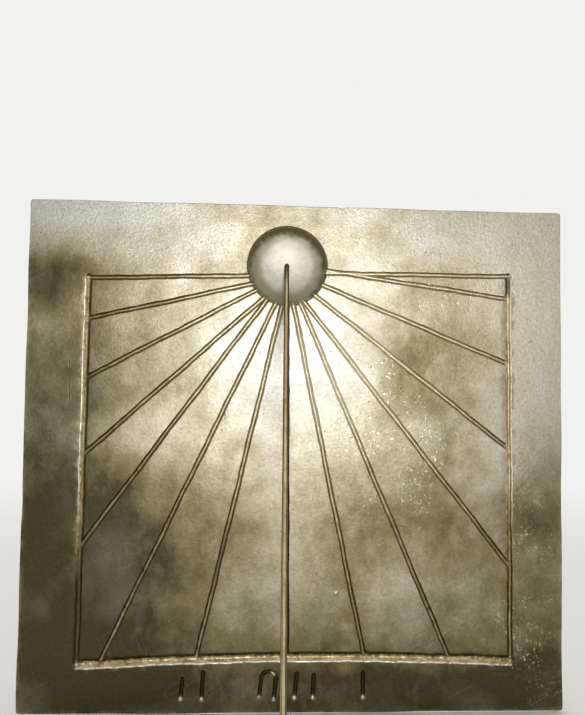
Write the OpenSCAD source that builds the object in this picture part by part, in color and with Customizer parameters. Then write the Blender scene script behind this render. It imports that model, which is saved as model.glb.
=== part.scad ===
// Wall sundial: a near-square brass plate with a sunk sun dish, engraved hour lines and a
// slanting gnomon rod. Four studs behind it go into the wall and four tubes hold it off.
// All sizes are in millimetres. X runs right and Z up along the wall, and Y runs into it.
// The origin is on the face of the wall, at the centre of the four studs.

/* [Dial plate] */
// Width of the plate
plate_w = 320; // [300:1:400]
// Height of the plate
plate_h = 299; // [290:1:400]
// Thickness of the sheet
plate_t = 3; // [2.5:0.5:5]

/* [Sun dish] */
// Dish centre, to the right of the plate's centre
dish_x = -7.3; // [-20:0.1:20]
// Dish centre, above the plate's centre
dish_z = 112.7; // [108:0.1:116]
// Hole in the plate that the dish fills
dish_d = 47.5; // [46:0.5:49]
// Rounding of the plate's front edge round that hole
rim_round = 0.8; // [0.5:0.1:2]
// Depth of the dish below the front of the plate
dish_depth = 6.2; // [5.5:0.1:7]
// Thickness of the dish's wall
dish_wall = 1.5; // [1:0.1:2]
// Width of the dish's flange behind the plate
flange_w = 4; // [2:0.5:6]

/* [Engraving] */
// Width of a line at the surface
line_w = 2.9; // [2:0.1:4]
// Depth of a line
line_depth = 1.1; // [0.6:0.1:1.6]
// Width of the wider line along the bottom of the frame
base_line_w = 5; // [3:0.1:6]
// Depth of that line
base_line_depth = 1.4; // [0.6:0.1:1.8]
// Width of the strokes of the hour figures
figure_w = 2.4; // [1.6:0.1:3]
// Depth of those strokes
figure_depth = 0.9; // [0.5:0.1:1.4]
// Half the width of the arch in the figure for twelve
arch_r = 4.3; // [3:0.1:5]

/* [Gnomon] */
// Angle between the rod and the plate
gnomon_angle = 40; // [35:1:50]
// Sideways lean of the rod, to the left as the dial is read
gnomon_lean = 2.7; // [0:0.1:5]
// Diameter of the rod
rod_d = 3; // [2:0.5:4]
// Length of the rod in front of the dish's floor
rod_reach = 300; // [150:5:320]
// Length of the rod behind the dish's floor
rod_tail = 18.5; // [17.5:0.5:20]
// Diameter of the socket behind the dish
socket_d = 10; // [8:0.5:12]
// Length of the socket from the dish's floor, along the rod
socket_len = 13.5; // [12:0.5:14]

/* [Wall fixing] */
// Distance between the studs, side to side
stud_pitch_x = 260; // [200:5:280]
// Distance between the studs, top to bottom
stud_pitch_z = 240; // [200:5:260]
// Diameter of a stud where it stands out of the nut and goes into the wall
stud_d = 6; // [6:1:8]
// Diameter of the stud's thinner front end, in the pad and the nut
stud_front_d = 5; // [4:0.5:5]
// Length of a stud inside the wall
stud_in_wall = 40; // [20:5:80]
// Diameter of the pad that holds a stud
pad_d = 20; // [18:1:30]
// Thickness of that pad
pad_t = 2; // [1.5:0.5:4]
// Length of the tubes between the pads and the wall
tube_len = 18; // [17:1:40]
// Outer diameter of a tube
tube_d = 16; // [15:1:24]

/* [Hidden] */
$fn = 64;

silvered = [0.72, 0.70, 0.60];
brass = [0.80, 0.66, 0.36];

// Faces of the plate along Y, from the wall's face at 0
back_y = -(tube_len + pad_t);
front_y = back_y - plate_t;

// The floor of the dish is a wide arc, and a tighter arc turns up from it to the rim
floor_r = 74;
turn_at = 15;
turn_angle = asin(turn_at / floor_r);
rim_drop = 0.3;
// That arc is cut off by the rim, before it reaches this radius and this slope
rim_inner = dish_d / 2 + 0.3;
rim_slope = 50;
turn_r = (rim_inner - turn_at) / (sin(rim_slope) - sin(turn_angle));
turn_centre = turn_at - turn_r * sin(turn_angle);
turn_centre_up = floor_r - (floor_r - turn_r) * cos(turn_angle);
solder_gap = 0.1;
flange_t = 1.5;

// Corners of the engraved frame, [across, up] from the plate's centre. It was set out by
// hand, so it is not quite square, and its bottom line rises a little towards noon.
frame_top_left = [-124.4, 103];
frame_top_right = [126.9, 109.3];
frame_bottom_right = [128.2, -119.5];
frame_bottom_left = [-125.9, -120.9];
// Rise of the bottom line in its middle, above a straight line between its ends
base_bow = 3.3;
frame_noon = [-4.8, -116.9];
frame_at_dish_left = [-29.6, 106.4];
frame_at_dish_right = [15.1, 108.9];

// Outer end of each hour line, from six in the morning to six in the evening
hour_ends = [[-125.1, 78.8], [-125.2, 43.9], [-125.5, -1.2], [-125.8, -54.3], [-113.1, -120.4],
    [-57.7, -118.7], frame_noon, [40.9, -117.8], [91.5, -118.8], [127.7, -64.5], [127.4, 5],
    [127.2, 56], [127, 95.6]];
// Direction from the dish's centre to the inner end of each, from straight down to the right
hour_starts = [-60.2, -49.5, -34.1, -29.7, -15.3, -6.3, 0, 9.3, 19.9, 24.7, 43.4, 61.8, 84.5];
// Distance of those inner ends from the dish's centre
hour_start_r = dish_d / 2 - 2.4;

// Strokes of the hour figures under the frame: two for eleven, an arch and two for twelve,
// one for one o'clock. The arch leans, with its feet to the left.
figure_strokes = [[[-65, -129.8], [-65.9, -140.6]], [[-53, -126.1], [-53.9, -140.9]],
    [[1.3, -127.1], [0, -140.2]], [[11.2, -127.8], [10.8, -140.2]], [[40.1, -126.7], [40.3, -140.3]]];
arch_centre = [-15.2, -129.9];
arch_leg = 10.7;
arch_lean = 5.5;

// Where the rod's axis meets the floor of the dish
rod_foot = [dish_x, front_y + dish_depth, dish_z];
socket_bore_d = rod_d + 0.1;
washer_d = 7;
washer_t = 0.5;
washer_bore_d = 3.2;
rod_nut_flats = 5.5;
rod_nut_t = 2.4;
rod_chamfer = 0.4;

pad_bore_d = stud_front_d + 0.1;
stud_nut_flats = 8;
stud_nut_t = 4;
// Room between the nut and the stud's shoulder
shoulder_gap = 0.5;
stud_chamfer = 0.8;
tube_bore_d = 10.4;

// The four corners of the stud pattern, [across, up]
TOP_LEFT = [-stud_pitch_x / 2, stud_pitch_z / 2];
TOP_RIGHT = [stud_pitch_x / 2, stud_pitch_z / 2];
BOTTOM_LEFT = [-stud_pitch_x / 2, -stud_pitch_z / 2];
BOTTOM_RIGHT = [stud_pitch_x / 2, -stud_pitch_z / 2];

// Inner end of an hour line at the rim of the dish
function rim_point(angle) =
    [dish_x + hour_start_r * sin(angle), dish_z - hour_start_r * cos(angle)];

// Radius of a round tool that cuts a groove of this width and depth
function tool_r(width, depth) = (width * width / 4 + depth * depth) / (2 * depth);

// One engraved stroke from a to b on the front of the plate
module stroke(a, b, width = line_w, depth = line_depth) {
    r = tool_r(width, depth);
    run = b - a;
    translate([a.x, front_y - r + depth, a.y])
        rotate([0, atan2(run.x, run.y), 0]) cylinder(h = norm(run), r = r);
}

// Half section of a round-ended tool, [across, along]. A square end is at 0.
module tool_section(length, r, round_start = true) {
    intersection() {
        union() {
            square([r, length]);
            translate([0, length]) circle(r = r);
            if (round_start) circle(r = r);
        }
        translate([0, -2 * r]) square([r, length + 4 * r]);
    }
}

// A short stroke of a figure from a to b, with round ends
module figure_stroke(a, b) {
    r = tool_r(figure_w, figure_depth);
    run = b - a;
    translate([a.x, front_y - r + figure_depth, a.y])
        rotate([0, atan2(run.x, run.y), 0])
            rotate_extrude() tool_section(norm(run), r);
}

// A point past b, by this much, on the line from a to b
function past(a, b, by) = b + by * (b - a) / norm(b - a);

// The frame's two top strokes, and the thirteen hour lines that run from it to the dish
module hour_lines() {
    over = 0.7 * line_w;
    stroke(frame_at_dish_left, past(frame_at_dish_left, frame_top_left, over));
    stroke(frame_at_dish_right, past(frame_at_dish_right, frame_top_right, over));
    for (i = [0:len(hour_ends) - 1]) stroke(rim_point(hour_starts[i]), hour_ends[i]);
}

// The frame's sides, which run a little past its corners, and its wider bottom line
module frame_sides() {
    over = 0.7 * line_w;
    for (side = [[frame_bottom_left, frame_top_left], [frame_bottom_right, frame_top_right]])
        stroke(past(side[1], side[0], over), past(side[0], side[1], over));
    base_line(over);
}

// The wide bottom line, a flat arc through the frame's two lower corners and its noon point
module base_line(over) {
    chord = frame_bottom_right - frame_bottom_left;
    half = norm(chord) / 2;
    bow_r = (half * half + base_bow * base_bow) / (2 * base_bow);
    spread = asin((half + over) / bow_r);
    middle = (frame_bottom_left + frame_bottom_right) / 2;
    r = tool_r(base_line_w, base_line_depth);
    translate([middle.x, front_y - r + base_line_depth, middle.y])
        rotate([0, -atan2(chord.y, chord.x), 0])
            translate([0, 0, base_bow - bow_r])
                rotate([90, 0, 0])
                    rotate([0, 0, 90 - spread])
                        rotate_extrude(angle = 2 * spread, $fn = 2000)
                            translate([bow_r, 0]) circle(r = r, $fn = 48);
}

// The arch of the figure for twelve, with two straight legs that end round
module arch_figure() {
    r = tool_r(figure_w, figure_depth);
    translate([arch_centre.x, front_y - r + figure_depth, arch_centre.y])
        rotate([0, arch_lean, 0]) {
            rotate([90, 0, 0])
                rotate_extrude(angle = 180) translate([arch_r, 0]) circle(r = r);
            for (side = [-1, 1])
                translate([side * arch_r, 0, 0])
                    rotate([180, 0, 0])
                        rotate_extrude() tool_section(arch_leg, r, false);
        }
}

module hour_figures() {
    for (s = figure_strokes) figure_stroke(s[0], s[1]);
    arch_figure();
}

// Turns a profile round the dish's axis. The profile's Y is the distance in front of the
// plate's face, and below zero it is inside the plate.
module turned_on_dish_axis() {
    translate([dish_x, front_y, dish_z])
        rotate([90, 0, 0])
            rotate_extrude() children();
}

module dish_hole() {
    turned_on_dish_axis() {
        translate([0, -plate_t - 1]) square([dish_d / 2, plate_t + 2]);
        difference() {
            translate([0, -rim_round]) square([dish_d / 2 + rim_round, rim_round + 1]);
            translate([dish_d / 2 + rim_round, -rim_round]) circle(r = rim_round);
        }
    }
}

// Half section of a bowl whose inside lies this far outside the hollow of the dish
module bowl_section(grow = 0) {
    translate([0, -dish_depth])
        intersection() {
            union() {
                intersection() {
                    translate([0, floor_r]) circle(r = floor_r + grow, $fn = 128);
                    polygon([[0, floor_r], [0, -2 * grow - 1],
                        [(floor_r + 3 * grow) * sin(turn_angle),
                        floor_r - (floor_r + 3 * grow) * cos(turn_angle)]]);
                }
                translate([turn_centre, turn_centre_up]) circle(r = turn_r + grow, $fn = 96);
            }
            translate([0, -3 * grow - 1]) square([dish_d, dish_depth + 3 * grow + 3]);
        }
}

module dish_body() {
    turned_on_dish_axis() {
        intersection() {
            bowl_section(dish_wall);
            translate([0, -2 * dish_depth]) square([dish_d / 2 - solder_gap, 2 * dish_depth - rim_drop]);
        }
        translate([turn_at, -plate_t - flange_t]) square([dish_d / 2 - turn_at + flange_w, flange_t]);
        translate([turn_at, -plate_t - 0.5])
            square([dish_d / 2 - solder_gap - turn_at, plate_t + 0.5 - rim_drop]);
    }
}

// Puts its children on the rod's axis, with Z along it: up and back from the dish's floor
module on_rod_axis(along = 0) {
    translate(rod_foot)
        rotate([-gnomon_angle, gnomon_lean, 0])
            translate([0, 0, along]) children();
}

// Puts its children at one corner of the stud pattern, with Z into the wall
module at_stud(corner, y = 0) {
    translate([corner.x, y, corner.y]) rotate([-90, 0, 0]) children();
}

module hex_nut(flats, thick, bore) {
    difference() {
        cylinder(h = thick, d = flats / cos(30), $fn = 6);
        translate([0, 0, -1]) cylinder(h = thick + 2, d = bore);
    }
}

module dial_plate() {
    color(silvered)
        difference() {
            translate([-plate_w / 2, front_y, -plate_h / 2]) cube([plate_w, plate_t, plate_h]);
            dish_hole();
            hour_lines();
            frame_sides();
            hour_figures();
        }
}

module sun_dish() {
    color(silvered)
        difference() {
            dish_body();
            turned_on_dish_axis() bowl_section();
            hour_lines();
            on_rod_axis(-20) cylinder(h = 40, d = socket_bore_d);
        }
}

module gnomon_rod() {
    color(brass) {
        on_rod_axis(-rod_reach + rod_d / 2) {
            cylinder(h = rod_reach - rod_d / 2 + rod_tail - rod_chamfer, d = rod_d);
            sphere(d = rod_d);
        }
        on_rod_axis(rod_tail - rod_chamfer)
            cylinder(h = rod_chamfer, d1 = rod_d, d2 = rod_d - 2 * rod_chamfer);
    }
}

module gnomon_socket() {
    color(brass)
        difference() {
            on_rod_axis() cylinder(h = socket_len, d = socket_d);
            dish_back_cutter();
            on_rod_axis(-1) cylinder(h = socket_len + 2, d = socket_bore_d);
        }
}

// Everything in front of the back of the dish's floor
module dish_back_cutter() {
    turned_on_dish_axis()
        intersection() {
            translate([0, floor_r - dish_depth]) circle(r = floor_r + dish_wall, $fn = 128);
            translate([0, -2 * dish_depth]) square([dish_d / 2, 2 * dish_depth + 10]);
        }
}

module gnomon_washer() {
    color(brass)
        on_rod_axis(socket_len)
            difference() {
                cylinder(h = washer_t, d = washer_d);
                translate([0, 0, -1]) cylinder(h = washer_t + 2, d = washer_bore_d);
            }
}

module gnomon_nut() {
    color(brass) on_rod_axis(socket_len + washer_t) hex_nut(rod_nut_flats, rod_nut_t, rod_d + 0.04);
}

module stud_pad(corner) {
    color(brass)
        at_stud(corner, back_y)
            difference() {
                cylinder(h = pad_t, d = pad_d);
                translate([0, 0, -1]) cylinder(h = pad_t + 2, d = pad_bore_d);
            }
}

module wall_stud(corner) {
    length = -back_y + stud_in_wall;
    front_len = pad_t + stud_nut_t + shoulder_gap;
    color(brass)
        at_stud(corner, back_y) {
            cylinder(h = front_len, d = stud_front_d);
            translate([0, 0, front_len]) cylinder(h = length - front_len - stud_chamfer, d = stud_d);
            translate([0, 0, length - stud_chamfer])
                cylinder(h = stud_chamfer, d1 = stud_d, d2 = stud_d - 2 * stud_chamfer);
        }
}

module stud_nut(corner) {
    color(brass) at_stud(corner, back_y + pad_t) hex_nut(stud_nut_flats, stud_nut_t, stud_front_d + 0.04);
}

module spacer_tube(corner) {
    color(brass)
        at_stud(corner, -tube_len)
            difference() {
                cylinder(h = tube_len, d = tube_d);
                translate([0, 0, -1]) cylinder(h = tube_len + 2, d = tube_bore_d);
            }
}

dial_plate();
sun_dish();
gnomon_rod();
gnomon_socket();
gnomon_washer();
gnomon_nut();
stud_pad(TOP_LEFT);  // stud_pad_top_left
stud_pad(TOP_RIGHT);  // stud_pad_top_right
stud_pad(BOTTOM_LEFT);  // stud_pad_bottom_left
stud_pad(BOTTOM_RIGHT);  // stud_pad_bottom_right
wall_stud(TOP_LEFT);  // wall_stud_top_left
wall_stud(TOP_RIGHT);  // wall_stud_top_right
wall_stud(BOTTOM_LEFT);  // wall_stud_bottom_left
wall_stud(BOTTOM_RIGHT);  // wall_stud_bottom_right
stud_nut(TOP_LEFT);  // stud_nut_top_left
stud_nut(TOP_RIGHT);  // stud_nut_top_right
stud_nut(BOTTOM_LEFT);  // stud_nut_bottom_left
stud_nut(BOTTOM_RIGHT);  // stud_nut_bottom_right
spacer_tube(TOP_LEFT);  // spacer_tube_top_left
spacer_tube(TOP_RIGHT);  // spacer_tube_top_right
spacer_tube(BOTTOM_LEFT);  // spacer_tube_bottom_left
spacer_tube(BOTTOM_RIGHT);  // spacer_tube_bottom_right
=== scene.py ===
"""Looks of a wall sundial: a silvered brass plate with engraved hour lines, a sun dish sunk into it
and a slanting rod, held off the wall by four studs in spacer tubes. The meshes are worked out in
millimetres in the part's own frame: X to the right, Y into the wall, Z up."""
import math

import bpy
import numpy as np
from mathutils import Matrix, Vector
from mathutils.geometry import delaunay_2d_cdt


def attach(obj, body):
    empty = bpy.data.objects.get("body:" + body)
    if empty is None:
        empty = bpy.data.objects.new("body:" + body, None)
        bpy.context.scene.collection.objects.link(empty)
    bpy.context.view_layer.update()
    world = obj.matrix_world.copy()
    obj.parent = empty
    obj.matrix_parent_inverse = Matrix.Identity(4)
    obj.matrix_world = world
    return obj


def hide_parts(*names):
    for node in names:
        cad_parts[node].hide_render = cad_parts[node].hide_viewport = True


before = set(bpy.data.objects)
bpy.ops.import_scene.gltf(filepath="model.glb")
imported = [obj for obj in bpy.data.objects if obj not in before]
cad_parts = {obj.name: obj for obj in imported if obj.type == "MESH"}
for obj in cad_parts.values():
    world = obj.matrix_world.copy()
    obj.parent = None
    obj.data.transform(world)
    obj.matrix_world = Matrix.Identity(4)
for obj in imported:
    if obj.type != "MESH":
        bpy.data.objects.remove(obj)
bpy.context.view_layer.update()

# Camera. It stands where the photograph was taken from: 0.59 m in front of the plate, a little
# left of its middle, turned slightly to the right and tipped slightly upwards.
CAMERA_AT, CAMERA_LENS = (-0.04383, -0.60953, 0.02027), 49.85


def new_object(name, data):
    """A new object that shows this camera, lamp or mesh in the scene."""
    made = bpy.data.objects.new(name, data)
    bpy.context.scene.collection.objects.link(made)
    return made


camera_data = bpy.data.cameras.new("camera")
camera_data.sensor_fit = "VERTICAL"
camera_data.sensor_height = 36
camera_data.lens = CAMERA_LENS
camera = new_object("camera", camera_data)
look_right = Vector((0.99751, -0.0693, 0.0129))
look_up = Vector((-0.01727, -0.06278, 0.99788))
look_back = Vector((-0.06834, -0.99562, -0.06382))
camera.matrix_world = (Matrix.Translation(CAMERA_AT)
                       @ Matrix((look_right, look_up, look_back)).transposed().to_4x4())
bpy.context.scene.camera = camera

# Studio. A pale floor just under the plate's lower edge, which fades out into a pale room that
# is a little darker in front, and soft lamps: a round one in front and two behind.
FLOOR_Z, FLOOR_REACH = -0.1502, 14
FADE_FROM, FADE_TO = 0.45, 2.2


class Step:
    """One node in the working out of a look, and the number, place or colour that comes out of
    it. Numbers are added, taken away, multiplied and raised to powers as usual."""

    def __init__(self, tree, kind, inputs=(), output=0, **settings):
        self.tree, self.node = tree, tree.nodes.new("ShaderNode" + kind)
        for name, setting in settings.items():
            setattr(self.node, name, setting)
        for name, value in dict(inputs).items():
            put(value, self.node.inputs[name])
        self.out = self.node.outputs[output]

    def work_out(self, how, a, b):
        """The sum, product or the like of two numbers."""
        return Step(self.tree, "Math", {0: a, 1: b}, operation=how)

    def __add__(self, other):
        return self.work_out("ADD", self, other)

    def __sub__(self, other):
        return self.work_out("SUBTRACT", self, other)

    def __rsub__(self, other):
        return self.work_out("SUBTRACT", other, self)

    def __mul__(self, other):
        return self.work_out("MULTIPLY", self, other)

    def __pow__(self, other):
        return self.work_out("POWER", self, other)

    def or_larger(self, other):
        """This number or the other one, whichever is larger."""
        return self.work_out("MAXIMUM", self, other)

    def span(self, low, high, to_low=0.0, to_high=1.0, kind="LINEAR"):
        """Stretches the range low to high onto another range, and stops at its ends."""
        return Step(self.tree, "MapRange", {"Value": self, "From Min": low, "From Max": high,
                                            "To Min": to_low, "To Max": to_high},
                    "Result", interpolation_type=kind)

    def shades(self, *stops):
        """Colours along a number: each stop is a place from 0 to 1 and a colour."""
        made = Step(self.tree, "ValToRGB", {"Fac": self}, "Color")
        elements = made.node.color_ramp.elements
        while len(elements) < len(stops):
            elements.new(0.5)
        for element, (place, colour) in zip(elements, stops):
            element.position = place
            element.color = (*colour, 1)
        return made

    def tinted(self, share, over, how="MIX"):
        """This colour with another laid over it, by this share."""
        return Step(self.tree, "Mix", {"Factor": share, "A": self, "B": over}, "Result",
                    data_type="RGBA", blend_type=how)

    def part(self, axis):
        """The X, Y or Z of a place."""
        return Step(self.tree, "SeparateXYZ", {0: self}, axis)

    def vector(self, how, other=(0, 0, 0)):
        """A place moved or stretched by another, or its length, distance or dot product."""
        number = how in ("LENGTH", "DISTANCE", "DOT_PRODUCT")
        return Step(self.tree, "VectorMath", {0: self} if how == "LENGTH" else {0: self, 1: other},
                    "Value" if number else "Vector", operation=how)


def put(value, socket):
    """Sets a number or colour on a socket, or links a step or another socket to it."""
    value = value.out if isinstance(value, Step) else value
    if isinstance(value, bpy.types.NodeSocket):
        socket.id_data.links.new(value, socket)
    elif isinstance(value, tuple) and len(value) < len(socket.default_value):
        socket.default_value = (*value, 1)
    else:
        socket.default_value = value


floor_mesh = bpy.data.meshes.new("floor")
floor_mesh.from_pydata([(x * FLOOR_REACH, y * FLOOR_REACH, FLOOR_Z)
                        for x, y in ((-1, -1), (1, -1), (1, 1), (-1, 1))], [], [(0, 1, 2, 3)])
floor = new_object("floor", floor_mesh)
floor_paint = bpy.data.materials.new("pale_floor")
floor_paint.use_nodes = True
floor_tree = floor_paint.node_tree
floor_shader = floor_tree.nodes["Principled BSDF"]
floor_shader.inputs["Base Color"].default_value = (0.84, 0.83, 0.80, 1)
floor_shader.inputs["Roughness"].default_value = 0.9
floor_shader.inputs["Specular IOR Level"].default_value = 0.1
floor_away = Step(floor_tree, "TexCoord", output="Object").vector("LENGTH")
floor_mix = Step(floor_tree, "MixShader", {
    "Fac": floor_away.span(FADE_FROM, FADE_TO, kind="SMOOTHSTEP"),
    1: floor_shader.outputs["BSDF"], 2: Step(floor_tree, "BsdfTransparent")})
put(floor_mix, floor_tree.nodes["Material Output"].inputs["Surface"])
floor_mesh.materials.append(floor_paint)

room = bpy.data.worlds.new("room")
room.use_nodes = True
bpy.context.scene.world = room
to_the_wall = Step(room.node_tree, "TexCoord", output="Generated").part("Y")
room_shade = to_the_wall.span(-1, 1).shades((0.12, (0.40, 0.40, 0.39)), (0.62, (0.88, 0.88, 0.86)))
put(room_shade, room.node_tree.nodes["Background"].inputs["Color"])


def soft_lamp(name, place, aim, across, watts):
    """A round area lamp at place that points to aim."""
    data = bpy.data.lights.new(name, "AREA")
    data.shape = "DISK"
    data.size = across
    data.energy = watts
    lamp = new_object(name, data)
    lamp.location = place
    lamp.rotation_euler = (Vector(aim) - Vector(place)).to_track_quat("-Z", "Y").to_euler()
    lamp.visible_camera = False


soft_lamp("front_lamp", (0.085, -1.489, 0.205), (-0.006, -0.023, 0.073), 0.42, 3.65)
soft_lamp("back_lamp_left", (-1.3, 1.4, 1.3), (0, 0, 0), 0.9, 6)
soft_lamp("back_lamp_right", (1.6, 0.9, 0.9), (0, 0, 0), 0.9, 4)

# Dial plate. A sheet of 3 mm brass, sawn and filed to 320 by 299 mm and silvered by hand, so its
# edges wave and its finish is cloudy. The frame, hour lines and figures are cut with a round-nosed
# graver, which bares the brass and throws up a burr outside the frame's sides and bottom line.
FRONT, BACK, BACK_ROUND = -23.0, -20.0, 0.25
HALF_WIDE, HALF_HIGH = 160.0, 149.5
DISH_X, DISH_Z, DISH_R, SHOULDER = -7.3, 112.7, 23.75, 0.8
LINE_WIDE, LINE_DEEP = 2.9, 1.1
LEFT_WIDE = 3.3
BASE_WIDE, BASE_DEEP, BASE_BOW = 5.0, 1.4, 3.3
EDGE_ROUND, CORNER_R = 0.45, 1.8
SOFTENED = 0.11
ROW_STEP, END_STEP, END_REACH = 1.05, 0.28, 0.7
chance = np.random.RandomState(7)


def in_rows(across, up):
    """Points in rows and columns, as two flat lists."""
    return [a.ravel() for a in np.meshgrid(across, up)]


def all_round(count):
    """Directions spread evenly round a circle."""
    return np.arange(count) * 2 * math.pi / count


def circled(middle, radius, turn):
    """Points at this distance from a middle, in these directions."""
    return np.stack([middle[0] + radius * np.cos(turn), middle[1] + radius * np.sin(turn)], 1)


class Stroke:
    """One stroke of the graver, straight or round a centre, with the small unevenness of a hand.
    On its open side, the graver leaned over and cut a flatter wall between two shares of the
    half width."""

    def __init__(self, length, wide=LINE_WIDE, deep=LINE_DEEP, shake=1.0, open_side=None):
        self.length, self.wide, self.deep, self.shake = length, wide, deep, shake
        self.open_side = open_side
        self.phase = chance.uniform(0, 2 * math.pi, 8)

    def wander(self, along):
        """Sideways shift, width and depth at this length along the stroke, in slow and quick
        waves."""
        p = self.phase
        shift = self.shake * (0.13 * np.sin(along / 9.5 + p[0]) + 0.07 * np.sin(along / 3.1 + p[1]))
        wide = self.wide * (1 + 0.07 * np.sin(along / 7.3 + p[2]) * np.sin(along / 3.9 + p[7])
                            + 0.03 * np.sin(along / 1.3 + p[3]))
        deep = self.deep * (1 + 0.05 * np.sin(along / 4.7 + p[4]) * np.sin(along / 2.9 + p[5])
                            + 0.02 * np.sin(along / 1.1 + p[6]))
        return shift, wide, deep

    def beside(self, x, z):
        """For each point: the nearest length along the stroke, how far the point lies past an end
        and aside of the middle, and the stroke's width and depth there."""
        along, aside = self.find(x, z)
        kept = np.clip(along, 0, self.length)
        shift, wide, deep = self.wander(kept)
        return kept, abs(along - kept), aside - shift, wide, deep

    def depth(self, x, z):
        """How deep this stroke cuts at each point: a round bottom with softly turned edges, where
        it is still about SOFTENED deep."""
        _, beyond, aside, wide, deep = self.beside(x, z)
        off = np.hypot(aside, beyond)
        half = wide / 2
        tool = (half * half + deep * deep) / (2 * deep)
        inside = np.sqrt(np.maximum(tool * tool - off * off, 0)) - (tool - deep)
        cut = np.where(off < half, inside, -half / (tool - deep) * (off - half))
        if self.open_side:
            side, low, high = self.open_side
            out = side * aside / half
            wall = np.sqrt(tool * tool - (low * half) ** 2) - (tool - deep)
            wall = wall * (high - out) / (high - low)
            cut = np.where((out > low) & (beyond < 0.1), wall, cut)
        return 0.5 * (cut + np.sqrt(cut * cut + 0.05))

    def lattice(self):
        """Mesh points in rows along the stroke, close together over its edges and its ends."""
        reach = self.wide / 2 + END_REACH
        ends = [np.arange(-reach, 0.6, END_STEP),
                self.length + reach - np.arange(0, reach + 0.6, END_STEP)]
        body = np.linspace(0.8, self.length - 0.8, max(2, int(self.length / ROW_STEP)))
        shares = np.array([0, .28, .5, .68, .82, .92, 1.0, 1.09, 1.22, 1.5])
        shares = np.concatenate([-shares[:0:-1], shares])
        along, share = in_rows(np.concatenate(ends + [body]), shares)
        shift = self.wander(np.clip(along, 0, self.length))[0]
        return self.place(along, share * self.wide / 2 + shift)


class StraightStroke(Stroke):
    """A stroke from one point to another."""

    def __init__(self, a, b, **how):
        self.a, run = np.array(a, float), np.array(b, float) - np.array(a, float)
        super().__init__(float(np.hypot(*run)), **how)
        self.run = run / self.length

    def find(self, x, z):
        dx, dz = x - self.a[0], z - self.a[1]
        return dx * self.run[0] + dz * self.run[1], dz * self.run[0] - dx * self.run[1]

    def place(self, along, aside):
        return np.stack([self.a[0] + along * self.run[0] - aside * self.run[1],
                         self.a[1] + along * self.run[1] + aside * self.run[0]], 1)


class RoundStroke(Stroke):
    """A stroke round a centre, from one direction to another."""

    def __init__(self, centre, radius, first, last, **how):
        self.centre, self.radius, self.first = centre, radius, first
        super().__init__(radius * (last - first), **how)

    def find(self, x, z):
        dx, dz = x - self.centre[0], z - self.centre[1]
        middle = self.first + self.length / self.radius / 2
        turn = np.arctan2(dz, dx) - middle
        turn = (turn + math.pi) % (2 * math.pi) - math.pi
        return (turn + middle - self.first) * self.radius, np.hypot(dx, dz) - self.radius

    def place(self, along, aside):
        return circled(self.centre, self.radius + aside, self.first + along / self.radius)


def past(a, b, by=0.6):
    """A point past b by this much, on the line from a to b, where the graver ran on."""
    a, b = np.array(a, float), np.array(b, float)
    return b + by * (b - a) / np.hypot(*(b - a))


TOP_LEFT, TOP_RIGHT = (-124.4, 103), (126.9, 109.3)
BOTTOM_RIGHT, BOTTOM_LEFT = (128.2, -119.5), (-125.9, -120.9)
NOON = (-4.8, -116.9)
# Where each hour line ends, and where on the dish it starts, in degrees from straight down
hour_ends = [(-125.1, 78.8), (-125.2, 43.9), (-125.5, -1.2), (-125.8, -54.3), (-113.1, -120.4),
             (-57.7, -118.7), NOON, (40.9, -117.8), (91.5, -118.8), (127.7, -64.5), (127.4, 5),
             (127.2, 56), (127, 95.6)]
hour_starts = [-60.2, -49.5, -34.1, -29.7, -15.3, -6.3, 0, 9.3, 19.9, 24.7, 43.4, 61.8, 84.5]
HOUR_START_R = DISH_R - 2.4

top_lines = [StraightStroke(start, past(start, corner))
             for start, corner in [((-29.6, 106.4), TOP_LEFT), ((15.1, 108.9), TOP_RIGHT)]]
left_line = StraightStroke(past(TOP_LEFT, BOTTOM_LEFT), past(BOTTOM_LEFT, TOP_LEFT),
                           wide=LEFT_WIDE, open_side=(1, 0.35, 1.35))
right_line = StraightStroke(past(TOP_RIGHT, BOTTOM_RIGHT), past(BOTTOM_RIGHT, TOP_RIGHT),
                            open_side=(1, 0.4, 1.25))
hour_lines = []
for hour_end, start in zip(hour_ends, hour_starts):
    turn = math.radians(start)
    hour_lines.append(StraightStroke((DISH_X + HOUR_START_R * math.sin(turn),
                                      DISH_Z - HOUR_START_R * math.cos(turn)), hour_end))
noon_line = hour_lines[hour_ends.index(NOON)]

chord = np.subtract(BOTTOM_RIGHT, BOTTOM_LEFT)
half_chord = np.hypot(*chord) / 2
bow_r = (half_chord ** 2 + BASE_BOW ** 2) / (2 * BASE_BOW)
bow_turn = math.asin(half_chord / bow_r)
bow_tilt = math.atan2(chord[1], chord[0])
bow_up = np.array([-math.sin(bow_tilt), math.cos(bow_tilt)])
bow_centre = np.add(BOTTOM_RIGHT, BOTTOM_LEFT) / 2 + (BASE_BOW - bow_r) * bow_up
bottom_line = RoundStroke(bow_centre, bow_r, bow_tilt + math.pi / 2 - bow_turn,
                          bow_tilt + math.pi / 2 + bow_turn, wide=BASE_WIDE, deep=BASE_DEEP,
                          shake=0.8, open_side=(-1, 0.55, 1.15))

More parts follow.
